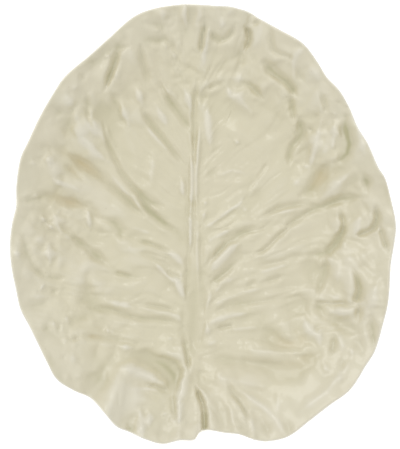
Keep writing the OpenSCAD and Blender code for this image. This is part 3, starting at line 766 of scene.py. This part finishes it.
def held_back(lift):
    """Clay can't be pressed deeper than its wall or drawn out without end: a lift nears the
    most that a ridge or a crease can have, along a hyperbolic tangent."""
    most = np.where(lift > 0, MOST_RIDGE, MOST_CREASE)
    return most * np.tanh(lift / most)


def leaf_heights(radii):
    """For radii by ring and ray: the places, the top, the underside and three traits for the
    glaze, which are the lift, the thin lines and the flank share. That is the share of the way
    from the flat well to the rim. The plain underside is the foot's height, plus the rise times
    the share to its power, plus the wave times the share squared. The top lies one wall above
    it, plus the lift: the sum of folds, ribs and blisters, held back, and weaker in the well.
    The underside has a part of the lift."""
    places = (radii[..., None] * ray_ways).reshape(-1, 2)
    flank = np.clip((radii - SEAT_RADIUS) / (ray_ends - SEAT_RADIUS), 0, 1)
    onset = eased(FOLD_ONSET * flank)
    (folds, fold_lines), (ribs, rib_lines), (blisters, blister_lines) = (
        find(places).reshape(2, *radii.shape) for find in (fold_heights, rib_heights, blister_heights)
    )
    smooth = outside_spots(places, SMOOTH_SPOTS, SMOOTHING).reshape(radii.shape)
    part = (WELL_BLISTERS + (1 - WELL_BLISTERS) * onset) * smooth
    # The lines are no height: the glaze's colour paints shade along their creases and highlights along
    # their ridges.
    lines = fold_lines + NOISE_LINES * (rib_lines * smooth + blister_lines * part)
    lift = held_back(folds + ribs * smooth + blisters * part)
    lift *= WELL_SHARE + (1 - WELL_SHARE) * onset
    plain = FOOT_HEIGHT + RIM_RISE * flank ** FLANK_POWER + rim_waves * flank ** 2
    under = plain + PRINT_SHARE * lift * onset
    top = plain + WELL_WALL + (RIM_WALL - WELL_WALL) * flank + lift
    top = higher_of(top, under + CREASE_WALL)
    traits = np.stack([lift / TRAIT_UNIT, lines / TRAIT_UNIT, flank])
    return places.reshape(*radii.shape, 2), top, under, traits


# %% Rings of the top, the rounded lip and the underside
TOP_RINGS = 120
RING_POWER = 0.85
UNDER_RINGS = 24
LIP_ANGLES_DEG = range(72, -73, -18)

top_steps = (np.arange(1, TOP_RINGS + 1) / TOP_RINGS) ** RING_POWER
top_places, top_z, _, top_traits = leaf_heights(top_steps[:, None] * ray_ends)

under_steps = np.linspace(1, 0, UNDER_RINGS + 1)[:, None]
under_places, _, under_z, under_traits = leaf_heights(
    SEAT_RADIUS + (ray_ends - SEAT_RADIUS) * under_steps
)

lip_angles = np.radians(LIP_ANGLES_DEG)[:, None]
lip_radii = ray_ends + RIM_ROUND * np.cos(lip_angles)
lip_places = lip_radii[..., None] * ray_ways
lip_z = (top_z[-1] + under_z[0]) / 2 + (top_z[-1] - under_z[0]) / 2 * np.sin(lip_angles)
lip_traits = np.repeat(top_traits[:, -1:], len(lip_angles), axis=1)
# Over the lip the flank value goes past one, and there the colour paints a sheen.
lip_traits[2] *= 1 + np.cos(lip_angles)
print("top", np.round([top_z.min() / MM, top_z.max() / MM], 1), "mm high")
print("least wall", round((top_z[-1] - under_z[0]).min() / MM, 2), "mm at the rim")

# %% [markdown]
# ## One closed mesh
# The rings are joined into one skin that runs over the top, round the lip and back under the
# plate, with a point in the middle of each side. Each four-sided cell is split along the
# diagonal that climbs less, so that a crease that runs across the rays stays one smooth line.
# Four values are stored on every point, because the glaze needs them later: how far the clay
# is lifted, how deep or high the thin lines are, how far out on the flank and over the lip the
# point lies, and how strongly iron stains the glaze there. From the first three the glaze's
# colour paints shade into dips and creases and a sheen on crests, ridge lines, the flank and lip.

# %% Points, faces and the glaze's own attributes
STAINS = [(-62, 26, 14), (-69, 10, 12), (-58, -51, 8), (48, -56, 12), (62, 20, 8)]
NEAR_MIDDLE = 0.001 * MM

places = np.concatenate([top_places, lip_places, under_places])
heights = np.concatenate([top_z, lip_z, under_z])
traits = np.concatenate([top_traits, lip_traits, PRINT_SHARE * under_traits], axis=1)
grid_points = np.concatenate([places, heights[..., None]], axis=2).reshape(-1, 3)
middle_top = leaf_heights(np.full((1, RAY_COUNT), NEAR_MIDDLE))[1][0, 0]
leaf_points = np.vstack([grid_points, [0, 0, middle_top], [0, 0, FOOT_HEIGHT]])

# The points' numbers by ring and ray, and again one ray further: a, b, c and d go round a cell
numbers = np.arange(heights.size).reshape(heights.shape)
beside = np.roll(numbers, -1, axis=1)
a, b, c, d = (part.ravel() for part in (numbers[:-1], numbers[1:], beside[1:], beside[:-1]))
climb = leaf_points[:, 2]
flat_ac = np.abs(climb[a] - climb[c]) < np.abs(climb[b] - climb[d])
first = np.stack([a, b, np.where(flat_ac, c, d)], 1)
second = np.stack([np.where(flat_ac, a, b), c, d], 1)
fan_top = np.stack([np.full(RAY_COUNT, numbers.size), numbers[0], beside[0]], 1)
fan_under = np.stack([np.full(RAY_COUNT, numbers.size + 1), beside[-1], numbers[-1]], 1)
leaf_faces = np.concatenate([first, second, fan_top, fan_under])[:, ::-1]
leaf_volume = np.linalg.det(leaf_points[leaf_faces]).sum() / 6
print("volume", round(leaf_volume / MM ** 3), "cubic mm, positive when the faces point outwards")

leaf_mesh = bpy.data.meshes.new("glazed_leaf")
leaf_mesh.from_pydata(leaf_points.tolist(), [], leaf_faces.tolist())
leaf_mesh.shade_smooth()
stored = [np.append(trait.ravel(), [trait[0].mean(), 0]) for trait in traits]
stored.append(1 - outside_spots(leaf_points[:, :2], STAINS, 1.0))
for name, values in zip(["relief", "line_shade_and_glint", "flank", "stain"], stored):
    layer = leaf_mesh.attributes.new(name, "FLOAT", "POINT")
    layer.data.foreach_set("value", values.astype(np.float32))
    print(name, "from", np.round(values.min(), 2), "to", np.round(values.max(), 2))
leaf = add_object("glazed_leaf", leaf_mesh)
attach(leaf, "root")
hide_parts("leaf_dish")
print(len(leaf_faces), "triangles")

# %% [markdown]
# ## Tools for the finishes
# A finish is a small network of nodes. A few helpers keep the cells short: they put nodes into
# a network, feed their inputs, mix colours and remap values. What both finishes share, the
# cloudy tone of the glaze and its orange peel, is a group with named inputs and outputs.

# %% Helpers for nodes and groups
# A mix node has sockets for every kind of value. These are the factor and the two colours.
COLOUR_INPUTS = (0, 6, 7)
COLOUR_OUTPUT = 2


def feed(tree, socket, value):
    """A link into the socket if the value comes out of a node, or else a fixed value on it."""
    if isinstance(value, bpy.types.NodeSocket):
        tree.links.new(value, socket)
    else:
        socket.default_value = value


def add_node(tree, kind, settings=(), **values):
    """A node of a kind, with settings on the node, and values or links on its named inputs."""
    node = tree.nodes.new(kind)
    for name, setting in dict(settings).items():
        setattr(node, name, setting)
    for name, value in values.items():
        feed(tree, node.inputs[name.replace("_", " ")], value)
    return node


def new_group(name, inputs, outputs):
    """An empty group with the sockets inside it. Inputs and outputs are names with their kinds."""
    group = bpy.data.node_groups.new(name, "ShaderNodeTree")
    for way, sockets in (("INPUT", inputs), ("OUTPUT", outputs)):
        for label, kind in sockets.items():
            group.interface.new_socket(label, in_out=way, socket_type="NodeSocket" + kind)
    return group, group.nodes.new("NodeGroupInput").outputs, group.nodes.new("NodeGroupOutput").inputs


def product(tree, first, second, more=0.0):
    """The first value times the second, plus a third."""
    node = add_node(tree, "ShaderNodeMath", {"operation": "MULTIPLY_ADD"})
    for socket, value in zip(node.inputs, (first, second, more)):
        feed(tree, socket, value)
    return node.outputs[0]


def mix_colours(tree, factor, first, second):
    """The first colour, mixed towards the second by a factor."""
    node = add_node(tree, "ShaderNodeMix", {"data_type": "RGBA"})
    for number, value in zip(COLOUR_INPUTS, (factor, first, second)):
        feed(tree, node.inputs[number], value)
    return node.outputs[COLOUR_OUTPUT]


def remap(tree, value, low, high, to_low=0.0, to_high=1.0):
    """A value between low and high becomes one between two others, eased at both ends."""
    return add_node(
        tree, "ShaderNodeMapRange", {"interpolation_type": "SMOOTHSTEP"}, Value=value,
        From_Min=low, From_Max=high, To_Min=to_low, To_Max=to_high,
    ).outputs["Result"]


def add_noise(tree, scale, detail=2.0):
    """Smooth noise on the object's own coordinates."""
    here = add_node(tree, "ShaderNodeTexCoord").outputs["Object"]
    return add_node(tree, "ShaderNodeTexNoise", Vector=here, Scale=scale, Detail=detail).outputs["Fac"]


def from_group(tree, group, **values):
    """What a node group gives for the values on its inputs."""
    return add_node(tree, "ShaderNodeGroup", {"node_tree": group}, **values).outputs[0]


print("helpers ready")

# %% [markdown]
# ## Cloudy glaze
# A dipped glaze is never one even colour: it flows, so wide soft clouds are a little paler or
# warmer, and a few specks of iron from the clay rise through it. Clouds come from wide noise.
# Specks are the middles of the cells of a Voronoi pattern, cut off small, in a few cells only.

# %% Group of clouds and specks
CLOUD_RANGE = (0.3, 0.72)
CELL_SCALE = 130.0
SPECK_RANGE = (0.05, 0.11)
SPECK_CHANCE = (0.9, 0.92)

clouds_group, come, leave = new_group(
    "glaze_clouds",
    {"Colour": "Color", "Warm colour": "Color", "Speck colour": "Color", "Cloud scale": "Float",
     "Speck amount": "Float"},
    {"Colour": "Color"},
)
clouds = remap(clouds_group, add_noise(clouds_group, come["Cloud scale"]), *CLOUD_RANGE)
cloudy = mix_colours(clouds_group, clouds, come["Colour"], come["Warm colour"])
here = add_node(clouds_group, "ShaderNodeTexCoord").outputs["Object"]
cells = add_node(clouds_group, "ShaderNodeTexVoronoi", Vector=here, Scale=CELL_SCALE).outputs
spots = remap(clouds_group, cells["Distance"], *SPECK_RANGE, 1.0, 0.0)
chance = add_node(clouds_group, "ShaderNodeSeparateColor", Color=cells["Color"]).outputs["Red"]
specks = product(clouds_group, spots, remap(clouds_group, chance, *SPECK_CHANCE))
specks = product(clouds_group, specks, come["Speck amount"])
speckled = mix_colours(clouds_group, specks, cloudy, come["Speck colour"])
feed(clouds_group, leave["Colour"], speckled)
print("group", clouds_group.name)

# %% [markdown]
# ## Orange peel
# Fired glaze keeps the faint waves that it had when it ran, and finer dimples on top of them.
# They hardly show, yet they break up every highlight, which is what tells the eye that this is
# glaze and not plastic.

# %% Group of the glaze's fine surface
DIMPLE_SHARE = 0.08

peel_group, come, leave = new_group(
    "glaze_peel",
    {"Wave scale": "Float", "Dimple scale": "Float", "Wave height": "Float"},
    {"Normal": "Vector"},
)
dimples = add_noise(peel_group, come["Dimple scale"], detail=1.0)
height = product(peel_group, dimples, DIMPLE_SHARE, add_noise(peel_group, come["Wave scale"]))
bump = add_node(peel_group, "ShaderNodeBump", Height=height, Distance=come["Wave height"])
feed(peel_group, leave["Normal"], bump.outputs["Normal"])
print("group", peel_group.name)

# %% [markdown]
# ## The leaf's glaze
# Cream glaze is a milky layer over pale clay. It is a little deeper in the well. In a dip it is
# deeper and yellower, and along a crease deepest: partly glaze that gathers there, and partly
# painted shade. On a bulge, a ridge, the outer flank and the lip it is paler: partly thinner
# glaze, and partly a painted sheen. Where iron rose through it, dips and creases are tan. So each
# coat of colour follows one of the values that were stored on the points. The body of the glaze
# is soft, and a clear coat over it mirrors the wide lamp as a bloom on the slopes and the small
# lamp as crisp glints.

# %% Material of the glazed leaf
CREAM = (0.702, 0.653, 0.474, 1)
# Deeper glaze and painted shade, the stain's tan, then thinner glaze with a painted sheen
CREAM_DEEP_AND_SHADE = (0.578, 0.538, 0.354, 1)
CREAM_CREASE_SHADE = (0.44, 0.418, 0.23, 1)
CREAM_TAN = (0.54, 0.446, 0.232, 1)
CREAM_THIN_AND_SHEEN = (0.77, 0.732, 0.6, 1)
CREAM_THIN_LIP_SHEEN = (0.8, 0.78, 0.71, 1)
CREAM_WARM = (0.702, 0.647, 0.486, 1)
IRON_SPECK = (0.42, 0.34, 0.2, 1)
WARM_SHARE = 0.4
CLOUD_SCALE = 28.0
GLAZE_IOR = 1.5


def new_material(name, roughness, coat=0.0, coat_roughness=0.03):
    """A material with its network and the inputs of its shader, which hold the fixed values."""
    material = bpy.data.materials.new(name)
    material.use_nodes = True
    shader = material.node_tree.nodes["Principled BSDF"].inputs
    shader["Roughness"].default_value = roughness
    shader["IOR"].default_value = GLAZE_IOR
    shader["Coat Weight"].default_value = coat
    shader["Coat Roughness"].default_value = coat_roughness
    return material, material.node_tree, shader


def add_clouds(tree, colour, warm, speck_amount):
    """The cloudy and speckled tone in a material."""
    return from_group(
        tree, clouds_group, Colour=colour, Warm_colour=warm, Speck_colour=IRON_SPECK,
        Cloud_scale=CLOUD_SCALE, Speck_amount=speck_amount,
    )


leaf_glaze, tree, shader = new_material("leaf_glaze", roughness=0.36, coat=0.7, coat_roughness=0.1)
relief, line_shade_and_glint, flank, stain = (
    add_node(tree, "ShaderNodeAttribute", {"attribute_name": name}).outputs["Fac"]
    for name in ("relief", "line_shade_and_glint", "flank", "stain")
)
# Painted shade in the dips, tan where iron stains them
dip_shade = mix_colours(tree, stain, CREAM_DEEP_AND_SHADE, CREAM_TAN)
# Painted shade along the creases, tan where iron stains them
line = mix_colours(tree, stain, CREAM_CREASE_SHADE, CREAM_TAN)

# From the bottom coat up: what it follows, from where to where, its share at both ends, its colour
COATS = [
    (flank, (0.05, 0.6), (0.15, 0.0), CREAM_DEEP_AND_SHADE),
    # Painted shade in the dips, partly glaze that gathers there
    (relief, (-0.45, 0.04), (0.55, 0.0), dip_shade),
    # Painted sheen on the crests, partly thinner glaze
    (relief, (0.1, 0.7), (0.0, 0.5), CREAM_THIN_AND_SHEEN),
    # Painted sheen on the outer flank and rim, partly thinner glaze
    (flank, (0.45, 0.95), (0.0, 0.4), CREAM_THIN_AND_SHEEN),
    # Painted shade along the creases, partly glaze that gathers there
    (line_shade_and_glint, (-0.75, -0.02), (0.9, 0.0), line),
    # Painted highlights along the ridge lines, partly thinner glaze
    (line_shade_and_glint, (0.02, 0.3), (0.0, 0.9), CREAM_THIN_AND_SHEEN),
    # Painted sheen on the lip, partly thinner glaze
    (flank, (1.0, 1.7), (0.0, 0.9), CREAM_THIN_LIP_SHEEN),
]
cream = CREAM
for value, ends, shares, coat in COATS:
    cream = mix_colours(tree, remap(tree, value, *ends, *shares), cream, coat)
warm = mix_colours(tree, WARM_SHARE, cream, CREAM_WARM)
feed(tree, shader["Base Color"], add_clouds(tree, cream, warm, speck_amount=0.15))
peel = from_group(tree, peel_group, Wave_scale=140.0, Dimple_scale=900.0, Wave_height=0.12 * MM)
feed(tree, shader["Normal"], peel)
leaf_mesh.materials.append(leaf_glaze)
print("material", leaf_glaze.name, "of", len(COATS), "coats")

# %% [markdown]
# ## The ring foot
# The foot is thrown as a plain ring and luted to the leaf. It is glazed with the leaf, and then
# its standing edge is wiped clean, so that the plate doesn't stick to the kiln's shelf. The
# bare edge is dry, rougher and a little browner, with the grain of the clay. The plain solid
# already has the right shape, so it stays, and only its finish is made here.

# %% Material of the foot
CLAY = (0.6, 0.5, 0.36, 1)
CLAY_WARM = (0.53, 0.42, 0.29, 1)
WIPED = (0.9 * MM, 1.6 * MM)
GRAIN_SCALE = 600.0
CLAY_ROUGHNESS = 0.85
GLAZED_ROUGHNESS = 0.34

foot_clay, tree, shader = new_material("foot_clay", GLAZED_ROUGHNESS)
here = add_node(tree, "ShaderNodeTexCoord").outputs["Object"]
height = add_node(tree, "ShaderNodeSeparateXYZ", Vector=here).outputs["Z"]
clay = mix_colours(tree, add_noise(tree, GRAIN_SCALE, detail=3.0), CLAY, CLAY_WARM)
glaze = add_clouds(tree, CREAM, CREAM_WARM, speck_amount=0.3)
feed(tree, shader["Base Color"], mix_colours(tree, remap(tree, height, *WIPED), clay, glaze))
feed(tree, shader["Roughness"], remap(tree, height, *WIPED, CLAY_ROUGHNESS, GLAZED_ROUGHNESS))
peel = from_group(tree, peel_group, Wave_scale=300.0, Dimple_scale=1500.0, Wave_height=0.1 * MM)
feed(tree, shader["Normal"], peel)
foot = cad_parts["foot_ring"]
foot.material_slots[0].material = foot_clay
print("material", foot_clay.name, "on", foot.name)

# %% [markdown]
# ## Table and light
# The plate lies on a plain pale table under the soft light of a studio. A wide bank of lights
# hangs over it, just beyond the leaf's tip: it brightens every level crest and leaves steep
# sides a little darker. It is painted into the light of the white room as a round glow, which
# has no edge that could show in the glaze. One wide soft lamp at the upper left gives the folds
# a bright and a dark side, and a small weak one adds crisp glints. The table glows a little, so
# that it stays white up to the plate.

# %% Table, room and lamps
TABLE_HALF = 3.0
TABLE_WHITE = (0.92, 0.92, 0.92, 1)
TABLE_GLOW = 0.5
ROOM_WHITE = (1, 1, 1, 1)
ROOM_LIGHT = 0.745
BANK_LIGHT = 0.35
BANK_WAY = (-0.08, 0.25, 0.96)
BANK_EDGE = 0.55

# Name, watts, side in metres, and place
LAMPS = [
    ("soft_lamp", 3.1, 0.9, (-0.83, 0.83, 1.25)),
    ("glint_lamp", 0.5, 0.25, (-0.2, 0.5, 1.6)),
]

corners = TABLE_HALF * np.array([[-1, -1, 0], [1, -1, 0], [1, 1, 0], [-1, 1, 0]])
table_mesh = bpy.data.meshes.new("table")
table_mesh.from_pydata(corners.tolist(), [], [[0, 1, 2, 3]])
table = add_object("table", table_mesh)
table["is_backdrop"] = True
table_white, _, shader = new_material("table_white", roughness=0.9)
shader["Base Color"].default_value = TABLE_WHITE
shader["Emission Color"].default_value = TABLE_WHITE
shader["Emission Strength"].default_value = TABLE_GLOW
table_mesh.materials.append(table_white)

room = bpy.data.worlds.new("white_room")
room.use_nodes = True
tree = room.node_tree
way = add_node(tree, "ShaderNodeTexCoord").outputs["Generated"]
towards = add_node(tree, "ShaderNodeVectorMath", {"operation": "DOT_PRODUCT"})
feed(tree, towards.inputs[0], way)
feed(tree, towards.inputs[1], Vector(BANK_WAY).normalized())
glow = remap(tree, towards.outputs["Value"], BANK_EDGE, 1.0, ROOM_LIGHT, ROOM_LIGHT + BANK_LIGHT)
feed(tree, tree.nodes["Background"].inputs["Strength"], glow)
feed(tree, tree.nodes["Background"].inputs["Color"], ROOM_WHITE)
bpy.context.scene.world = room

for name, power, size, place in LAMPS:
    lamp_data = bpy.data.lights.new(name, "AREA")
    lamp_data.energy = power
    lamp_data.size = size
    lamp = add_object(name, lamp_data)
    lamp.location = place
    lamp.rotation_euler = (-Vector(place)).to_track_quat("-Z", "Y").to_euler()

bpy.context.scene.view_settings.view_transform = "Standard"
print(len(LAMPS), "lamps, room", ROOM_LIGHT, "bank", BANK_LIGHT)

# %% [markdown]
# ## Measure both boxes
# The dressed plate stands for the same object as the plain one, so both boxes are measured and
# their difference is printed. The dressed plate must fill the same box as the plain one, because
# both stand for one object. A fold that runs over the rim can rise a little past the plain box.

# %% Both boxes, and the end
dressed_box = [list(corner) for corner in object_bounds()]
growth = [[round((b - a) / MM, 2) for a, b in zip(*pair)] for pair in zip(plain_box, dressed_box)]
print("dressed box less plain box, in mm:", growth)
